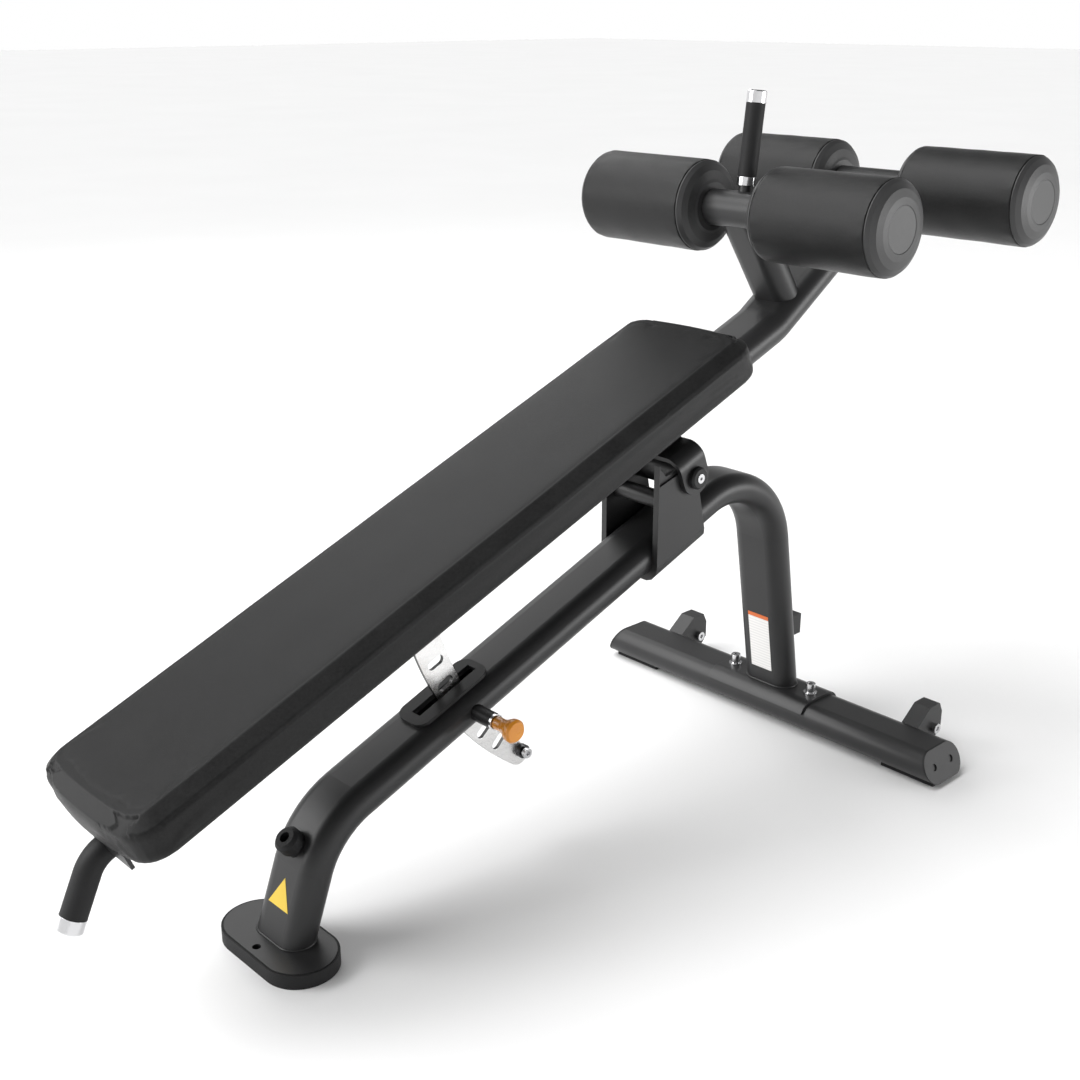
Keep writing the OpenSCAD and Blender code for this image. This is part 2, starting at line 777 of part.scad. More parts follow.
// Angle in the pivot's side view of a direction below the -X horizontal.
function ladder_at(phi, r) = [-r * cos(phi), -r * sin(phi)];

module ladder_plate() {
    out_c = [-13.3, 18.9];
    end_r = 17.5;
    end_phi = 51.5;
    color("#c3c5c7") in_frame() translate([pivot_x, 0, pivot_z]) side_plate(-ladder_t / 2, ladder_t / 2)
        difference() {
            union() {
                difference() {
                    translate(out_c) circle(r = ladder_out, $fn = 360);
                    circle(r = ladder_in, $fn = 360);
                    polygon([[0, 0], ladder_at(8, far_cut), [-far_cut, far_cut], [far_cut, far_cut],
                        [far_cut, -far_cut], [0, -far_cut], ladder_at(end_phi, far_cut)]);
                }
                translate(ladder_at(end_phi, ladder_in + end_r)) circle(r = end_r);
            }
            rotate(incline) translate([-700, top_n - tube_t / 2 - 1]) square([400, 100]);
            for (k = slots) rotate(slot_rest + k * slot_step)
                translate([-ladder_r + slot_creep * max(k, 0), 0]) {
                    square([slot_len - slot_w, slot_w], center = true);
                    for (s = [-1, 1]) translate([s * (slot_len - slot_w) / 2, 0]) circle(d = slot_w);
                }
            translate(ladder_at(stop_angle, stop_r)) circle(r = 5);
            for (u = [-497, -523]) rotate(incline) translate([u, 62]) circle(r = 4);
        }
}

module ladder_lug() {
    low = 52;
    color("#1b1b1c") on_bench() for (s = [-1, 1]) difference() {
        translate([-540, s > 0 ? ladder_t / 2 : -ladder_t / 2 - 5, low])
            cube([60, 5, top_n - tube_t / 2 - low]);
        for (u = [-497, -523]) y_bar(u, 62, 4, -50, 50);
    }
}

module ladder_bolts() {
    out = ladder_t / 2 + 5;
    color("#8d8f91") on_bench() for (u = [-497, -523]) {
        y_bar(u, 62, 4, -out, out);
        for (s = [-1, 1]) translate([u, s * out, 62]) rotate([-s * 90, 0, 0]) cylinder(r = 7, h = 5);
    }
}

module stop_bolt() {
    at = ladder_at(stop_angle, stop_r);
    out = ladder_t / 2;
    color("#b9bbbd") in_frame() translate([pivot_x + at[0], 0, pivot_z + at[1]]) {
        y_bar(0, 0, 5, -out, out + 6);
        y_bar(0, 0, 9, out, out + 6);
        y_bar(0, 0, 11, -out - 8, -out);
        translate([0, -out - 8, 0]) rotate([90, 0, 0]) difference() {
            cylinder(r = 8, h = 9);
            translate([0, 0, 4]) cylinder(r = 4, h = 20, $fn = 6);
        }
    }
}

module roller_strut() {
    dir = [cos(strut_angle), sin(strut_angle)];
    color("#1b1b1c") in_frame() difference() {
        oval_bar(near_axle - 200 * dir, near_axle, strut_w, strut_t);
        oval_bar(near_axle - 210 * dir, near_axle + 10 * dir, strut_w - 6, strut_t - 6);
        top_run(tube_w, tube_t);
        y_bar(near_x, near_z, hub_r, -100, 100);
    }
}

// Axle bar: hub tube in the middle and a shaft out to each roller, both longer by spread.
module axle_bar(x, z, spread) {
    shaft_end = disc_y - 12 + spread;
    in_frame() {
        y_bar(x, z, hub_r, -hub_half - spread, hub_half + spread);
        y_bar(x, z, axle_r, -shaft_end, shaft_end);
    }
}

module near_axle_bar() {
    color("#1b1b1c") difference() {
        axle_bar(near_x, near_z, 0);
        at_upright() cylinder(r = 11, h = 60);
    }
}

module far_axle_bar() { color("#1b1b1c") axle_bar(far_x, far_z, far_spread); }

// Foam sleeve of one roller on side s, moved out by spread.
module roller_foam(x, z, s, spread) {
    in_frame() translate([0, s * spread, 0]) difference() {
        y_bar(x, z, roller_r, s > 0 ? roller_in : -roller_out, s > 0 ? roller_out : -roller_in);
        y_bar(x, z, core_r, -far_cut / 4, far_cut / 4);
    }
}

// End caps and core tube of one roller on side s, moved out by spread.
module roller_caps(x, z, s, spread) {
    hub_in = hub_half + 0.6;
    bore = axle_r + run_gap;
    in_frame() translate([x, s * spread, z]) rotate([-s * 90, 0, 0]) {
        rotate_extrude() polygon([[bore, hub_in], [38, hub_in], [42.5, hub_in + 1.5], [56, hub_in + 4.5],
            [66, hub_in + 9], [roller_r - 1.5, roller_in - 2], [roller_r - 1.5, roller_in], [core_r, roller_in],
            [core_r, roller_out - 1], [core_r - 3, roller_out - 1], [core_r - 3, roller_in + 12],
            [bore, roller_in + 12]]);
        rotate_extrude() polygon([[bore, roller_out - 14], [core_r - 3, roller_out - 14],
            [core_r - 3, roller_out - 1], [core_r, roller_out - 1], [core_r, roller_out],
            [roller_r - 1.5, roller_out], [roller_r - 1.5, roller_out + 1.5], [67, roller_out + 7],
            [58, roller_out + 12.5], [46, disc_y - 1.5], [disc_r + 1.5, disc_y], [disc_r, disc_y - 0.8],
            [0, disc_y - 0.8], [0, disc_y - 11], [bore, disc_y - 11]]);
    }
}

module roller_near_left() { color("#2b2b2c") roller_foam(near_x, near_z, 1, 0); }

module roller_near_right() { color("#2b2b2c") roller_foam(near_x, near_z, -1, 0); }

module roller_far_left() { color("#2b2b2c") roller_foam(far_x, far_z, 1, far_spread); }

module roller_far_right() { color("#2b2b2c") roller_foam(far_x, far_z, -1, far_spread); }

module caps_near_left() { color("#1f1f20") roller_caps(near_x, near_z, 1, 0); }

module caps_near_right() { color("#1f1f20") roller_caps(near_x, near_z, -1, 0); }

module caps_far_left() { color("#1f1f20") roller_caps(far_x, far_z, 1, far_spread); }

module caps_far_right() { color("#1f1f20") roller_caps(far_x, far_z, -1, far_spread); }

// Bent round bar of the head handle with the given radius.
module handle_bar(r, start_u, drop) {
    cut = handle_bend_r * tan(handle_bend / 2);
    translate([handle_bend_u + cut - lap, 0, handle_n]) rotate([0, 90, 0])
        cylinder(r = r, h = start_u - handle_bend_u - cut + lap);
    translate([handle_bend_u + cut, 0, handle_n - handle_bend_r]) rotate([90, 0, 0])
        rotate([0, 0, 90]) rotate_extrude(angle = handle_bend) translate([handle_bend_r, 0])
            circle(r = r - bend_step);
    translate([handle_bend_u, 0, handle_n]) rotate([0, -90 - handle_bend, 0])
        translate([0, 0, cut - lap]) cylinder(r = r, h = drop - cut + lap);
}

module head_handle() {
    color("#1b1b1c") on_bench() handle_bar(handle_r, top_head_u + 60, handle_drop - 8);
}

module head_grip() {
    color("#1a1a1b") on_bench() difference() {
        handle_bar(grip_r, top_head_u - 4, handle_drop - 19);
        handle_bar(handle_r, top_head_u + 60, handle_drop);
    }
}

module head_handle_cap() {
    color("#c9cbcd") on_bench() translate([handle_bend_u, 0, handle_n])
        rotate([0, -90 - handle_bend, 0]) translate([0, 0, handle_drop - 19]) difference() {
            rotate_extrude() polygon([[0, 0], [grip_r + 0.5, 0], [grip_r + 0.5, 17],
                [grip_r - 1.5, 19], [0, 19]]);
            translate([0, 0, -1]) cylinder(r = handle_r, h = 12);
        }
}

// Upright handle frame: Z along the handle, origin on the near axle.
module at_upright() {
    in_frame() translate([near_x + 5, 0, near_z]) rotate([0, upright_lean, 0]) children();
}

module upright_post() {
    color("#1b1b1c") at_upright() cylinder(r = 11, h = upright_len - 6);
}

module upright_ring() {
    color("#c9cbcd") at_upright() translate([0, 0, 37]) difference() {
        cylinder(r = upright_r, h = 13);
        translate([0, 0, -1]) cylinder(r = 11, h = 20);
    }
}

module upright_grip() {
    color("#1a1a1b") at_upright() translate([0, 0, 50]) difference() {
        cylinder(r = upright_r, h = upright_len - 69);
        translate([0, 0, -1]) cylinder(r = 11, h = upright_len);
    }
}

module upright_cap() {
    color("#c9cbcd") at_upright() translate([0, 0, upright_len - 19]) difference() {
        rotate_extrude() polygon([[0, 0], [upright_r + 0.5, 0], [upright_r + 0.5, 17],
            [upright_r - 1.5, 19], [0, 19]]);
        translate([0, 0, -1]) cylinder(r = 11, h = 14);
    }
}

module lock_plunger() {
    color("#c9cbcd") on_rail() y_bar(pin_s, 0, plunger_r, -128, -ladder_t / 2 - pin_gap);
}

module lock_knob() {
    color("#c07a22") on_rail() translate([pin_s, -91.5, 0]) rotate([90, 0, 0]) difference() {
        rotate_extrude() polygon([[0, 0], [9.8, 0], [9.8, 13], [11.5, 20], [14.5, 26],
            [knob_r - 0.8, 30], [knob_r, 33], [knob_r, 38], [knob_r - 3, 41.5], [0, 41.5]]);
        translate([0, 0, -1]) cylinder(r = plunger_r, h = 37.5);
    }
}

base_tube();
foot_plate();
foot_shoe();
stabiliser_tube();
stabiliser_cap_left();
stabiliser_cap_right();
ground_pads();
saddle_plate();
saddle_screws();
wheel_brackets();
wheel_bolts();
bumper();
bumper_screw();
leg_rest_block();
pivot_bracket();
pivot_sleeve();
cross_tube();
slot_guide();
pin_barrel();
pin_ring();
info_label();
warning_label();
top_tube();
top_tube_plug();
hinge_bracket();
hinge_riser();
pivot_shaft();
pivot_caps();
pivot_screws();
pad_board();
pad_cushion();
pad_brackets();
pad_screws();
head_bracket();
ladder_plate();
ladder_lug();
ladder_bolts();
stop_bolt();
roller_strut();
near_axle_bar();
far_axle_bar();
head_handle();
head_grip();
head_handle_cap();
upright_post();
upright_ring();
upright_grip();
upright_cap();
lock_plunger();
lock_knob();
roller_near_left();
roller_near_right();
roller_far_left();
roller_far_right();
caps_near_left();
caps_near_right();
caps_far_left();
caps_far_right();
wheel_left();
wheel_right();
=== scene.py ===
"""Looks of the decline bench: padding, materials, welds, light and camera round the CAD frame."""
import json
import math

import bmesh
import bpy
from mathutils import Matrix, Vector, noise


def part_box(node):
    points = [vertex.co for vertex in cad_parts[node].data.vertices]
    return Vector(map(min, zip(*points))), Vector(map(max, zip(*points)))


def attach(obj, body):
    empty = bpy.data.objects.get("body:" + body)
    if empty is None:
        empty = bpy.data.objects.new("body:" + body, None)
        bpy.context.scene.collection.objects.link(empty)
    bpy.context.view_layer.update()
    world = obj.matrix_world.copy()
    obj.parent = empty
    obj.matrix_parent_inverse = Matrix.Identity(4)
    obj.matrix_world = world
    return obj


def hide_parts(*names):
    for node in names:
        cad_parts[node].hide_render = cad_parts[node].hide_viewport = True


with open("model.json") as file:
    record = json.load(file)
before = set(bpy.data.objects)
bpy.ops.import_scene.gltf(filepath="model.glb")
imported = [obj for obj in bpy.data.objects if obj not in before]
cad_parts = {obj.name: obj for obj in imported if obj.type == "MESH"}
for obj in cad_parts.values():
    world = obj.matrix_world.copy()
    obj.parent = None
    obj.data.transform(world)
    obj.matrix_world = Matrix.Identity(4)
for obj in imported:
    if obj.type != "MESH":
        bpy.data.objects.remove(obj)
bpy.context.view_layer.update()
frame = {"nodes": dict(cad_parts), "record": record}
scene = bpy.context.scene
scene.view_settings.view_transform = "Standard"
joints = {j["name"]: j for j in frame["record"]["behaviour"]["joints"]}

# Bench frame: u along the bench towards the rollers, n square to it, origin on the tilt pivot.
INCLINE = math.radians(21.2)
PIVOT = Vector(joints["bench_tilt"]["pos_m"])
BENCH = Matrix.Translation(PIVOT) @ Matrix.Rotation(-INCLINE, 4, "Y")

# Pad, in metres in the bench frame.
PAD_HEAD, PAD_FOOT = -1.031, 0.146
PAD_TOP, PAD_LOW = 0.1893, 0.1284
PAD_HALF = 0.1285
PAD_BOW = 0.006
PAD_CORNER = 0.043
PAD_CORNER_MIN = 0.012
BEVEL_W, BEVEL_H = 0.023, 0.0164

ROLLER_R = 0.0725
ROLLER_LEN = 0.207

# Padding: size of the remesh's cells, pressure under the cover, and how far the cover may move.
VOXEL = 0.004
PRESSURE = 4.0
SWELL_CAP = 0.0012
CLOTH_FRAMES = 20

# Part of a noise's range over which a colour or a roughness goes from its low to its high value.
NOISE_LOW, NOISE_HIGH = 0.3, 0.7


# ---------------------------------------------------------------- mesh helpers

def new_object(name, bm):
    """Turns a bmesh into a smooth-shaded object of its own."""
    mesh = bpy.data.meshes.new(name)
    bm.normal_update()
    bm.to_mesh(mesh)
    bm.free()
    for poly in mesh.polygons:
        poly.use_smooth = True
    obj = bpy.data.objects.new(name, mesh)
    scene.collection.objects.link(obj)
    return obj


def loft(rings):
    """Skins closed rings of points; the first and last ring are capped."""
    bm = bmesh.new()
    rows = [[bm.verts.new(p) for p in ring] for ring in rings]
    count = len(rows[0])
    for low, high in zip(rows, rows[1:]):
        for i in range(count):
            j = (i + 1) % count
            bm.faces.new((low[i], low[j], high[j], high[i]))
    bm.faces.new(list(reversed(rows[0])))
    bm.faces.new(rows[-1])
    bmesh.ops.recalc_face_normals(bm, faces=bm.faces)
    return bm


def ring_bead(path, radius, sides, wobble, seed):
    """Round bead along a closed path; wobble ripples its radius like weld ripples."""
    bm = bmesh.new()
    rows = []
    total = len(path)
    for i, here in enumerate(path):
        along = (path[(i + 1) % total] - path[i - 1]).normalized()
        side = along.orthogonal().normalized()
        up = along.cross(side)
        r = radius * (1 + wobble * noise.noise(Vector((i * 0.9, seed, 0.0))))
        rows.append([bm.verts.new(here + r * (math.cos(a) * side + math.sin(a) * up))
                     for a in (2 * math.pi * k / sides for k in range(sides))])
    for i in range(total):
        low, high = rows[i], rows[(i + 1) % total]
        shift = min(range(sides), key=lambda s: (low[0].co - high[s].co).length)
        for k in range(sides):
            j = (k + 1) % sides
            bm.faces.new((low[k], low[j], high[(j + shift) % sides], high[(k + shift) % sides]))
    bmesh.ops.recalc_face_normals(bm, faces=bm.faces)
    return bm


def remesh(obj):
    """Even voxel mesh, which the cloth needs."""
    mod = obj.modifiers.new("remesh", "REMESH")
    mod.mode = "VOXEL"
    mod.voxel_size = VOXEL
    mod.use_smooth_shade = True
    settle(obj)


def settle(obj):
    """Applies every modifier on the object."""
    graph = bpy.context.evaluated_depsgraph_get()
    mesh = bpy.data.meshes.new_from_object(obj.evaluated_get(graph))
    obj.modifiers.clear()
    obj.data = mesh
    for poly in mesh.polygons:
        poly.use_smooth = True


def plump(obj, pinned):
    """Cloth simulation: inflates the cover, moving no point further than SWELL_CAP."""
    rest = [v.co.copy() for v in obj.data.vertices]
    group = obj.vertex_groups.new(name="pin")
    group.add([i for i, p in enumerate(rest) if pinned(p)], 1.0, "REPLACE")
    mod = obj.modifiers.new("cloth", "CLOTH")
    cloth = mod.settings
    cloth.quality = 4
    cloth.mass = 0.4
    cloth.tension_stiffness = 25
    cloth.compression_stiffness = 25
    cloth.shear_stiffness = 12
    cloth.bending_stiffness = 1.5
    cloth.use_pressure = True
    cloth.uniform_pressure_force = PRESSURE
    cloth.effector_weights.gravity = 0
    cloth.vertex_group_mass = "pin"
    mod.point_cache.frame_start = 1
    mod.point_cache.frame_end = CLOTH_FRAMES
    for number in range(1, CLOTH_FRAMES + 1):
        scene.frame_set(number)
    graph = bpy.context.evaluated_depsgraph_get()
    moved = [v.co.copy() for v in obj.evaluated_get(graph).data.vertices]
    obj.modifiers.remove(mod)
    obj.vertex_groups.clear()
    scene.frame_set(1)
    for vertex, start, end in zip(obj.data.vertices, rest, moved):
        step = end - start
        if step.length > SWELL_CAP:
            step *= SWELL_CAP / step.length
        vertex.co = start + step


def relax(obj, repeat, factor):
    """Evens out what the simulation left rough."""
    mod = obj.modifiers.new("smooth", "SMOOTH")
    mod.iterations = repeat
    mod.factor = factor
    settle(obj)


def subdivide(obj):
    mod = obj.modifiers.new("subdivision", "SUBSURF")
    mod.levels = mod.render_levels = 1
    settle(obj)


# ---------------------------------------------------------------- materials

def link(tree, a, b):
    tree.links.new(a, b)


def coords(tree, scale):
    """Object coordinates, scaled; they stay with the part when it moves."""
    where = tree.nodes.new("ShaderNodeTexCoord")
    mapping = tree.nodes.new("ShaderNodeMapping")
    mapping.inputs["Scale"].default_value = scale
    link(tree, where.outputs["Object"], mapping.inputs["Vector"])
    return mapping.outputs["Vector"]


def math_node(tree, operation, left, right, added=None):
    """Arithmetic on two values, and a third one that MULTIPLY_ADD adds."""
    node = tree.nodes.new("ShaderNodeMath")
    node.operation = operation
    link(tree, left, node.inputs[0])
    node.inputs[1].default_value = right
    if added is not None:
        link(tree, added, node.inputs[2])
    return node.outputs["Value"]


def axis_of(tree, vector, axis):
    """One axis of a vector."""
    split = tree.nodes.new("ShaderNodeSeparateXYZ")
    link(tree, vector, split.inputs["Vector"])
    return split.outputs[axis]


def noise_map(tree, vector, scale, detail, rough):
    """Noise between 0 and 1, mostly near the middle."""
    node = tree.nodes.new("ShaderNodeTexNoise")
    node.inputs["Scale"].default_value = scale
    node.inputs["Detail"].default_value = detail
    node.inputs["Roughness"].default_value = rough
    link(tree, vector, node.inputs["Vector"])
    return node.outputs["Fac"]


def span(tree, value, low, high):
    """Number between low and high that follows a noise."""
    node = tree.nodes.new("ShaderNodeMapRange")
    node.inputs["From Min"].default_value = NOISE_LOW
    node.inputs["From Max"].default_value = NOISE_HIGH
    node.inputs["To Min"].default_value = low
    node.inputs["To Max"].default_value = high
    link(tree, value, node.inputs["Value"])
    return node.outputs["Result"]


def blend_colour(tree, value, low, high):
    """Colour between low and high that follows a noise."""
    ramp = tree.nodes.new("ShaderNodeValToRGB")
    ramp.color_ramp.elements[0].position = NOISE_LOW
    ramp.color_ramp.elements[1].position = NOISE_HIGH
    ramp.color_ramp.elements[0].color = (*low, 1.0)
    ramp.color_ramp.elements[1].color = (*high, 1.0)
    link(tree, value, ramp.inputs["Fac"])
    return ramp.outputs["Color"]


def finish_normal(tree, shader, height, strength, distance, soften):
    """Bump from height over a softened edge normal."""
    bump = tree.nodes.new("ShaderNodeBump")
    bump.inputs["Strength"].default_value = strength
    bump.inputs["Distance"].default_value = distance
    link(tree, height, bump.inputs["Height"])
    if soften:
        bevel = tree.nodes.new("ShaderNodeBevel")
        bevel.samples = 6
        bevel.inputs["Radius"].default_value = soften
        link(tree, bevel.outputs["Normal"], bump.inputs["Normal"])
    link(tree, bump.outputs["Normal"], shader.inputs["Normal"])


def material(name, low, high, rough, grain, bump, metal=0.0, coat=0.0, specular=0.5,
             cloud=6.0, stretch=(1.0, 1.0, 1.0), soften=0.0008):
    """Principled material: cloudy colour from low to high, a range of roughness, fine grain.

    cloud and grain are the scales of the two noises, bump is the grain's strength and depth, and
    soften is the radius that the edges seem to be rounded to.
    """
    mat = bpy.data.materials.new(name)
    mat.use_nodes = True
    tree = mat.node_tree
    shader = tree.nodes["Principled BSDF"]
    vector = coords(tree, stretch)
    broad = noise_map(tree, vector, cloud, 4.0, 0.6)
    fine = noise_map(tree, vector, grain, 3.0, 0.6)
    link(tree, blend_colour(tree, broad, low, high), shader.inputs["Base Color"])
    link(tree, span(tree, fine, rough[0], rough[1]), shader.inputs["Roughness"])
    shader.inputs["Metallic"].default_value = metal
    shader.inputs["Coat Weight"].default_value = coat
    shader.inputs["Coat Roughness"].default_value = 0.25
    shader.inputs["Specular IOR Level"].default_value = specular
    finish_normal(tree, shader, fine, bump[0], bump[1], soften)
    return mat


def leather(name, low, high, rough, cell, strength, mottle, specular):
    """Grained vinyl: pebble cells over fine noise, with a faint mottled sheen.

    cell and mottle are the scales of the pebbles and of the broad clouds.
    """
    fine_ratio = 1.7
    pebble_gain = 1.4
    speckle_scale, speckle_share, cloud_share = 260.0, 0.55, 0.45
    grain_depth = 0.0006
    mat = bpy.data.materials.new(name)
    mat.use_nodes = True
    tree = mat.node_tree
    shader = tree.nodes["Principled BSDF"]
    vector = coords(tree, (1.0, 1.0, 1.0))
    broad = noise_map(tree, vector, mottle, 6.0, 0.65)
    fine = noise_map(tree, vector, cell * fine_ratio, 4.0, 0.6)
    pebble = tree.nodes.new("ShaderNodeTexVoronoi")
    pebble.feature = "DISTANCE_TO_EDGE"
    pebble.inputs["Scale"].default_value = cell
    link(tree, vector, pebble.inputs["Vector"])
    height = math_node(tree, "MULTIPLY_ADD", pebble.outputs["Distance"], pebble_gain, fine)
    speckle = noise_map(tree, vector, speckle_scale, 2.0, 0.7)
    clouds = math_node(tree, "MULTIPLY", broad, cloud_share)
    mottled = math_node(tree, "MULTIPLY_ADD", speckle, speckle_share, clouds)
    link(tree, blend_colour(tree, mottled, low, high), shader.inputs["Base Color"])
    link(tree, span(tree, mottled, rough[0], rough[1]), shader.inputs["Roughness"])
    shader.inputs["Specular IOR Level"].default_value = specular
    shader.inputs["Sheen Weight"].default_value = 0.03
    shader.inputs["Sheen Roughness"].default_value = 0.5
    finish_normal(tree, shader, height, strength, grain_depth, 0.0)
    return mat


def cut_plate(mat, edge):
    """Darkens the faces of a plate that don't face across the bench: its cut edges."""
    tree = mat.node_tree
    shader = tree.nodes["Principled BSDF"]
    where = tree.nodes.new("ShaderNodeTexCoord")
    across = tree.nodes.new("ShaderNodeMath")
    across.operation = "ABSOLUTE"
    link(tree, axis_of(tree, where.outputs["Normal"], "Y"), across.inputs[0])
    mix = tree.nodes.new("ShaderNodeMix")
    mix.data_type = "RGBA"
    mix.inputs["A"].default_value = (*edge, 1.0)
    link(tree, across.outputs["Value"], mix.inputs["Factor"])
    link(tree, shader.inputs["Base Color"].links[0].from_socket, mix.inputs["B"])
    link(tree, mix.outputs["Result"], shader.inputs["Base Color"])


def split_steel(name, boundary):
    """Bright bolt head outboard of the boundary along Y, dark collar inboard of it."""
    mat = material(name, (0.60, 0.60, 0.61), (0.70, 0.70, 0.71), (0.14, 0.24), 400.0,
                   (0.03, 0.0003), metal=1.0, soften=0.0004)
    tree = mat.node_tree
    shader = tree.nodes["Principled BSDF"]
    where = tree.nodes.new("ShaderNodeTexCoord")
    depth = axis_of(tree, where.outputs["Object"], "Y")
    inboard = math_node(tree, "GREATER_THAN", depth, boundary)
    mix = tree.nodes.new("ShaderNodeMix")
    mix.data_type = "RGBA"
    mix.inputs["B"].default_value = (0.07, 0.07, 0.072, 1.0)
    link(tree, inboard, mix.inputs["Factor"])
    link(tree, shader.inputs["Base Color"].links[0].from_socket, mix.inputs["A"])
    link(tree, mix.outputs["Result"], shader.inputs["Base Color"])
    return mat


def sticker(name, paper, band, rule, top, depth, pitch):
    """Blank label: a coloured band from top down by depth, then faint rules, a pitch apart."""
    mat = bpy.data.materials.new(name)
    mat.use_nodes = True
    tree = mat.node_tree
    shader = tree.nodes["Principled BSDF"]
    vector = coords(tree, (1.0, 1.0, 1.0))
    above = math_node(tree, "GREATER_THAN", axis_of(tree, vector, "Z"), top - depth)
    wave = tree.nodes.new("ShaderNodeTexWave")
    wave.bands_direction = "Z"
    wave.inputs["Scale"].default_value = 1.0 / (pitch * 2 * math.pi)
    wave.inputs["Distortion"].default_value = 0.0
    link(tree, vector, wave.inputs["Vector"])
    lines = blend_colour(tree, wave.outputs["Fac"], rule, paper)
    mix = tree.nodes.new("ShaderNodeMix")
    mix.data_type = "RGBA"
    mix.inputs["B"].default_value = (*band, 1.0)
    link(tree, above, mix.inputs["Factor"])
    link(tree, lines, mix.inputs["A"])
    link(tree, mix.outputs["Result"], shader.inputs["Base Color"])
    shader.inputs["Roughness"].default_value = 0.35
    return mat


# Looks by the record's material slot: colours are linear, low then high.
LOOKS = {
    "frame_paint": material("powder_coat", (0.015, 0.015, 0.0155), (0.019, 0.019, 0.0195),
                            (0.34, 0.42), 900.0, (0.08, 0.0004), specular=0.42),
    "black_plastic": material("moulded_black", (0.008, 0.008, 0.0085), (0.012, 0.012, 0.0125),
                              (0.42, 0.55), 1100.0, (0.12, 0.0004), specular=0.32),
    "rubber": material("black_rubber", (0.007, 0.007, 0.0075), (0.011, 0.011, 0.0115),
                       (0.52, 0.68), 800.0, (0.20, 0.0005), specular=0.28),
    "bright_steel": material("polished_steel", (0.62, 0.62, 0.63), (0.72, 0.72, 0.73),
                             (0.10, 0.20), 400.0, (0.03, 0.0003), metal=1.0, soften=0.0005),
    "plain_steel": material("zinc_steel", (0.22, 0.22, 0.225), (0.32, 0.32, 0.325),
                            (0.28, 0.42), 500.0, (0.08, 0.0003), metal=1.0, soften=0.0005),
    "ladder_steel": material("brushed_plate", (0.80, 0.795, 0.79), (0.93, 0.925, 0.92),
                             (0.20, 0.34), 260.0, (0.10, 0.0003), metal=1.0,
                             stretch=(1.0, 1.0, 12.0), soften=0.0006),
    "knob_amber": material("amber_knob", (0.58, 0.20, 0.006), (0.68, 0.26, 0.010),
                           (0.26, 0.34), 300.0, (0.05, 0.0004), coat=0.4, cloud=40.0,
                           soften=0.0006),
    "roller_cap": material("roller_cap", (0.022, 0.022, 0.0225), (0.028, 0.028, 0.0285),
                           (0.40, 0.50), 1000.0, (0.10, 0.0004), specular=0.5),
    "board_wood": material("stained_plywood", (0.010, 0.009, 0.008), (0.022, 0.019, 0.017),
                           (0.6, 0.8), 120.0, (0.25, 0.0006), stretch=(1.0, 8.0, 8.0)),
    "wheel_plastic": material("wheel_plastic", (0.009, 0.009, 0.0095), (0.013, 0.013, 0.0135),
                              (0.40, 0.52), 900.0, (0.12, 0.0004), specular=0.34),
    "label_yellow": material("yellow_sticker", (0.74, 0.50, 0.03), (0.80, 0.56, 0.05),
                             (0.30, 0.40), 300.0, (0.03, 0.0002), soften=0.0),
}
cut_plate(LOOKS["ladder_steel"], edge=(0.05, 0.05, 0.05))

# The stop bolt has a look of its own, by its node's name: the head is its outer 6.5 mm.
BOLT_HEAD = 0.0065
LOOKS["stop_bolt"] = split_steel("collar_bolt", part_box("stop_bolt")[0][1] + BOLT_HEAD)
LOOKS["label_white"] = sticker("white_sticker", paper=(0.80, 0.79, 0.77),
                               band=(0.62, 0.13, 0.02), rule=(0.70, 0.69, 0.68),
                               top=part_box("info_label")[1][2], depth=0.0075, pitch=0.0028)
PAD_VINYL = leather("pad_vinyl", (0.004, 0.004, 0.0041), (0.014, 0.014, 0.0142), (0.38, 0.54),
                    cell=700.0, strength=0.30, mottle=16.0, specular=0.19)
ROLLER_VINYL = leather("roller_vinyl", (0.004, 0.004, 0.0041), (0.011, 0.011, 0.0112),
                       (0.36, 0.50), cell=800.0, strength=0.26, mottle=24.0, specular=0.27)
LOOKS["vinyl"] = PAD_VINYL

for part in frame["record"]["subparts"]:
    cad = frame["nodes"][part["node"]]
    cad.data.materials.clear()
    cad.data.materials.append(LOOKS.get(part["node"], LOOKS[part["material_slot"]]))


def dress(obj, mat, body):
    """Gives a piece its material and its body."""
    obj.data.materials.clear()
    obj.data.materials.append(mat)
    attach(obj, body)


# ---------------------------------------------------------------- pad

def pad_ring(inset, n):
    """Outline of the pad drawn in by inset, at height n, as points in the bench frame."""
    end_steps, side_steps = 8, 44
    half = PAD_HALF - inset
    corner = max(PAD_CORNER - 0.5 * inset, PAD_CORNER_MIN)
    corner = min(corner, half * 0.96)
    head, foot = PAD_HEAD + inset, PAD_FOOT - inset
    arcs = []
    for end, turn in ((foot, -90), (foot, 0), (head, 90), (head, 180)):
        inward = -1 if end == foot else 1
        cu = end + inward * (corner + PAD_BOW)
        cy = (half - corner) * (-1 if turn in (-90, 180) else 1)
        arc = [Vector((cu + corner * math.cos(math.radians(turn + a)),
                       cy + corner * math.sin(math.radians(turn + a)), n))
               for a in range(0, 91, 15)]
        arcs.append(arc)
    out = []
    for k, arc in enumerate(arcs):
        out += arc
        after = arcs[(k + 1) % 4][0]
        last = arc[-1]
        steps = end_steps if k in (0, 2) else side_steps
        bow = PAD_BOW * (1 if k == 0 else -1) if k in (0, 2) else 0.0
        for s in range(1, steps):
            t = s / steps
            p = last.lerp(after, t)
            p.x += bow * 4 * t * (1 - t)
            out.append(p)
    return out


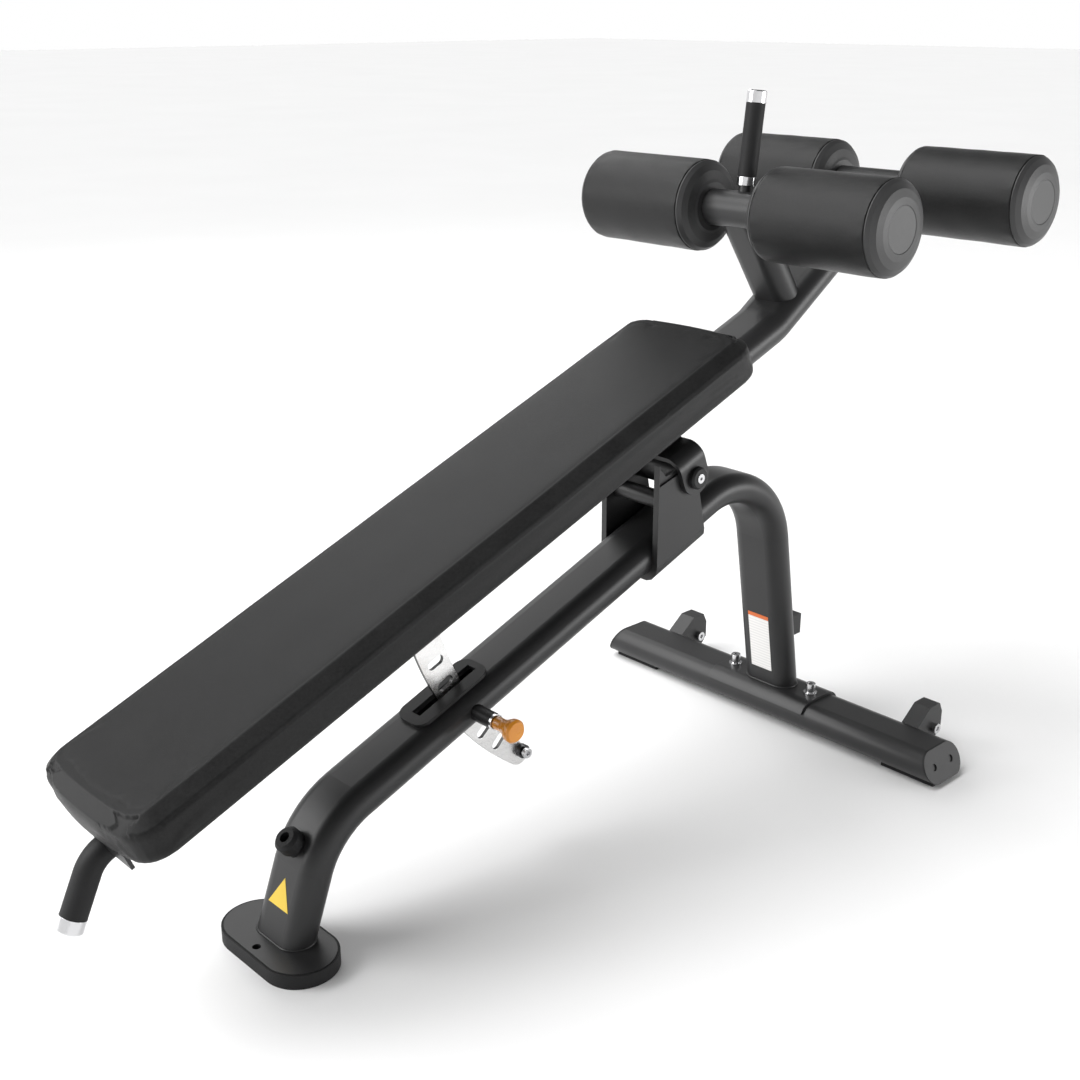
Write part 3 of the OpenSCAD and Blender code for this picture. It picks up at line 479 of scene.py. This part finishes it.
def pad_inset(p):
    """Distance of a point of the pad from its outline, looking square to the bench."""
    bow = PAD_BOW * (p.y / PAD_HALF) ** 2
    du = min(p.x - PAD_HEAD - bow, PAD_FOOT - bow - p.x)
    dy = PAD_HALF - abs(p.y)
    if du < PAD_CORNER and dy < PAD_CORNER:
        return PAD_CORNER - math.hypot(PAD_CORNER - du, PAD_CORNER - dy)
    return min(du, dy)


def crease(pad):
    """Draws the cover tight over the edge where the top meets its bevel."""
    rim, reach, deepest, pull = 0.004, BEVEL_W + 0.012, 0.004, 0.9
    for vertex in pad.data.vertices:
        inset = pad_inset(vertex.co)
        ideal = PAD_TOP - BEVEL_H * max(0.0, 1 - inset / BEVEL_W)
        short = ideal - vertex.co.z
        if rim < inset < reach and 0 < short < deepest:
            vertex.co.z += pull * short


def make_pad():
    """The upholstered pad: flat below, upright sides, a wide bevel and a slightly crowned top."""
    swell = 0.0004
    pinned_to = PAD_LOW + 0.010
    dent_from, dent_depth = PAD_LOW + 0.03, 0.0006
    rings = [
        pad_ring(0.012, PAD_LOW - 0.0010),
        pad_ring(0.004 + swell, PAD_LOW - 0.0006),
        pad_ring(0.0008 + swell, PAD_LOW + 0.0024),
        pad_ring(swell, pinned_to),
        pad_ring(swell, PAD_TOP - BEVEL_H - 0.003),
        pad_ring(0.0012 + swell, PAD_TOP - BEVEL_H + 0.0004),
        pad_ring(BEVEL_W * 0.5, PAD_TOP - BEVEL_H * 0.49),
        pad_ring(BEVEL_W, PAD_TOP - 0.0006),
        pad_ring(BEVEL_W + 0.003, PAD_TOP - 0.0004),
        pad_ring(0.060, PAD_TOP),
        pad_ring(0.110, PAD_TOP + 0.0002),
    ]
    pad = new_object("bench_pad", loft(rings))
    remesh(pad)
    plump(pad, lambda p: p.z < pinned_to)
    relax(pad, 1, 0.3)
    subdivide(pad)
    crease(pad)
    for vertex in pad.data.vertices:
        p = vertex.co
        dent = dent_depth * noise.noise(Vector((p.x * 9, p.y * 14, p.z * 14)))
        vertex.co = Vector((p.x, p.y, p.z + dent if p.z > dent_from else p.z))
    pad.data.transform(BENCH)
    dress(pad, PAD_VINYL, "bench")
    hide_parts("pad_cushion")


make_pad()


# ---------------------------------------------------------------- rollers

def roller_rings(length, radius):
    """Sleeve outline from end to end: rounded shoulders and a hint of a crown."""
    half = length / 2
    outline = [(-half, 0.62), (-half, 0.90), (-half + 0.0003, 0.975), (-half + 0.001, 0.992),
               (-half + 0.003, 0.997), (-half + 0.02, 0.999), (-half * 0.4, 1.0),
               (half * 0.4, 1.0), (half - 0.02, 0.999), (half - 0.003, 0.997),
               (half - 0.001, 0.992), (half - 0.0003, 0.975), (half, 0.90), (half, 0.62)]
    sides = 96
    return [[Vector((radius * k * math.cos(2 * math.pi * i / sides), y,
                     radius * k * math.sin(2 * math.pi * i / sides))) for i in range(sides)]
            for y, k in outline]


def make_roller(tag, seed):
    """Foam sleeve with its cover, rippled along it and puckered at its ends, on the body tag."""
    low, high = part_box("roller_" + tag)
    centre = (Vector(low) + Vector(high)) / 2
    rim, pull = ROLLER_R - 0.0003, 0.9
    pinned_r, rippled_r = ROLLER_R * 0.9, ROLLER_R * 0.8
    end_y = ROLLER_LEN / 2 - 0.001
    ripple_depth = 0.0006
    puckers, pucker_depth, pucker_from, pucker_width = 17, 0.00035, 0.078, 0.025
    sleeve = new_object("sleeve_" + tag, loft(roller_rings(ROLLER_LEN - 0.001, rim)))
    remesh(sleeve)
    plump(sleeve, lambda p: Vector((p.x, p.z)).length < pinned_r)
    relax(sleeve, 2, 0.5)
    subdivide(sleeve)
    for vertex in sleeve.data.vertices:
        p = vertex.co
        out = Vector((p.x, 0.0, p.z))
        if pinned_r < out.length < rim and abs(p.y) < end_y:
            p = p + out.normalized() * pull * (rim - out.length)
        if out.length > rippled_r:
            ripple = noise.noise(Vector((p.x * 16 + seed, p.y * 22, p.z * 16)))
            pucker = max(0.0, abs(p.y) - pucker_from) / pucker_width
            wave = math.sin(math.atan2(p.z, p.x) * puckers + seed)
            vertex.co = p + out.normalized() * (ripple_depth * ripple
                                                + pucker_depth * pucker * wave)
    sleeve.data.transform(Matrix.Translation(centre))
    dress(sleeve, ROLLER_VINYL, tag)
    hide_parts("roller_" + tag)


for index, tag in enumerate(("near_left", "near_right", "far_left", "far_right")):
    make_roller(tag, 3.7 * index)


# ---------------------------------------------------------------- weld beads

# The base's tube is a flat oval; its front and rear legs lean from the floor by these angles.
TUBE_HALF_T, TUBE_HALF_W = 0.026, 0.050
FRONT_LEAN, REAR_LEAN = math.radians(70), math.radians(80)
# The front leg's axis meets the floor this far from the middle of the foot plate, towards +X.
FRONT_SHIFT = 0.0033
# Height at which the rear leg's axis crosses the middle of the saddle plate.
REAR_CROSSING = 0.0627


def oval_path(x, z, lean):
    """Points round the cut of a leaning leg at height z, a flat oval stretched along X."""
    count = 120
    straight = TUBE_HALF_W - TUBE_HALF_T
    half_x = TUBE_HALF_T / math.sin(lean)
    pts = []
    for i in range(count):
        a = 2 * math.pi * i / count
        shift = straight * (1 if math.sin(a) > 0 else -1)
        pts.append(Vector((x + half_x * math.cos(a), shift + TUBE_HALF_T * math.sin(a), z)))
    return pts


def weld(name, x, plate_top, lean, seed):
    """Weld bead round a leg of the base, on top of a plate."""
    radius, sides, wobble, lift = 0.0019, 8, 0.22, 0.0006
    path = oval_path(x, plate_top + lift, lean)
    bead = new_object(name, ring_bead(path, radius, sides, wobble, seed))
    dress(bead, LOOKS["frame_paint"], "base")


plate_low, plate_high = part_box("foot_plate")
plate_x = (plate_low[0] + plate_high[0]) / 2
weld("weld_front_leg", plate_x + FRONT_SHIFT + plate_high[2] / math.tan(FRONT_LEAN),
     plate_high[2], FRONT_LEAN, seed=1.0)
saddle_low, saddle_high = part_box("saddle_plate")
saddle_x = (saddle_low[0] + saddle_high[0]) / 2
weld("weld_rear_leg", saddle_x - (saddle_high[2] - REAR_CROSSING) / math.tan(REAR_LEAN),
     saddle_high[2], REAR_LEAN, seed=2.0)


# ---------------------------------------------------------------- light, floor, camera

def area(name, place, target, size, power):
    """Rectangular white light at a place, turned to its target."""
    data = bpy.data.lights.new(name, "AREA")
    data.shape = "RECTANGLE"
    data.size, data.size_y = size
    data.energy = power
    lamp = bpy.data.objects.new(name, data)
    scene.collection.objects.link(lamp)
    lamp.location = place
    lamp.rotation_euler = (Vector(target) - Vector(place)).to_track_quat("-Z", "Y").to_euler()


def lit_room(zenith, middle, horizon):
    """World that is bright round the horizon and dimmer overhead."""
    world = bpy.data.worlds.new("studio")
    world.use_nodes = True
    tree = world.node_tree
    where = tree.nodes.new("ShaderNodeTexCoord")
    ramp = tree.nodes.new("ShaderNodeValToRGB")
    link(tree, axis_of(tree, where.outputs["Generated"], "Z"), ramp.inputs["Fac"])
    low, mid = ramp.color_ramp.elements
    low.position, low.color = 0.10, (horizon, horizon, horizon, 1.0)
    mid.position, mid.color = 0.45, (middle, middle, middle, 1.0)
    top = ramp.color_ramp.elements.new(0.95)
    top.color = (zenith, zenith, zenith, 1.0)
    back = tree.nodes["Background"]
    link(tree, ramp.outputs["Color"], back.inputs["Color"])
    back.inputs["Strength"].default_value = 1.0
    scene.world = world


lit_room(zenith=0.16, middle=0.20, horizon=1.0)
sun_data = bpy.data.lights.new("sun", "SUN")
sun_data.energy = 3.2
sun_data.angle = math.radians(50)
sun = bpy.data.objects.new("sun", sun_data)
scene.collection.objects.link(sun)
sun.rotation_euler = Vector((0.46, -0.28, -0.84)).to_track_quat("-Z", "Y").to_euler()
area("head_softbox", (-3.6, 2.4, 2.2), (0.0, 0.0, 0.5), (3.0, 2.4), 110.0)
area("far_softbox", (1.6, 4.2, 3.6), (0.0, 0.0, 0.6), (3.4, 2.2), 60.0)
area("side_softbox", (3.0, -3.6, 0.8), (0.2, 0.0, 0.5), (3.0, 1.4), 85.0)

floor_mesh = bmesh.new()
bmesh.ops.create_grid(floor_mesh, x_segments=2, y_segments=2, size=40.0)
floor = new_object("studio_floor", floor_mesh)
floor.location.z = -0.0005  # half a millimetre down, clear of the feet
floor.data.materials.append(material("floor_paint", (0.86, 0.86, 0.86), (0.88, 0.88, 0.88),
                                     (0.7, 0.8), 60.0, (0.02, 0.001), cloud=0.8, soften=0.0))

camera_data = bpy.data.cameras.new("camera")
camera_data.sensor_width = 36.0
camera_data.lens = 48.84
camera = bpy.data.objects.new("camera", camera_data)
scene.collection.objects.link(camera)
camera.location = (-1.42718, -1.49397, 1.22764)
# Degrees it looks down by, and its heading, counted from +X towards +Y.
LOOK_DOWN, HEADING = 20.1059, 47.0067
camera.rotation_euler = (math.radians(90 - LOOK_DOWN), 0.0, math.radians(HEADING - 90))
camera_data.clip_end = 200.0
scene.camera = camera
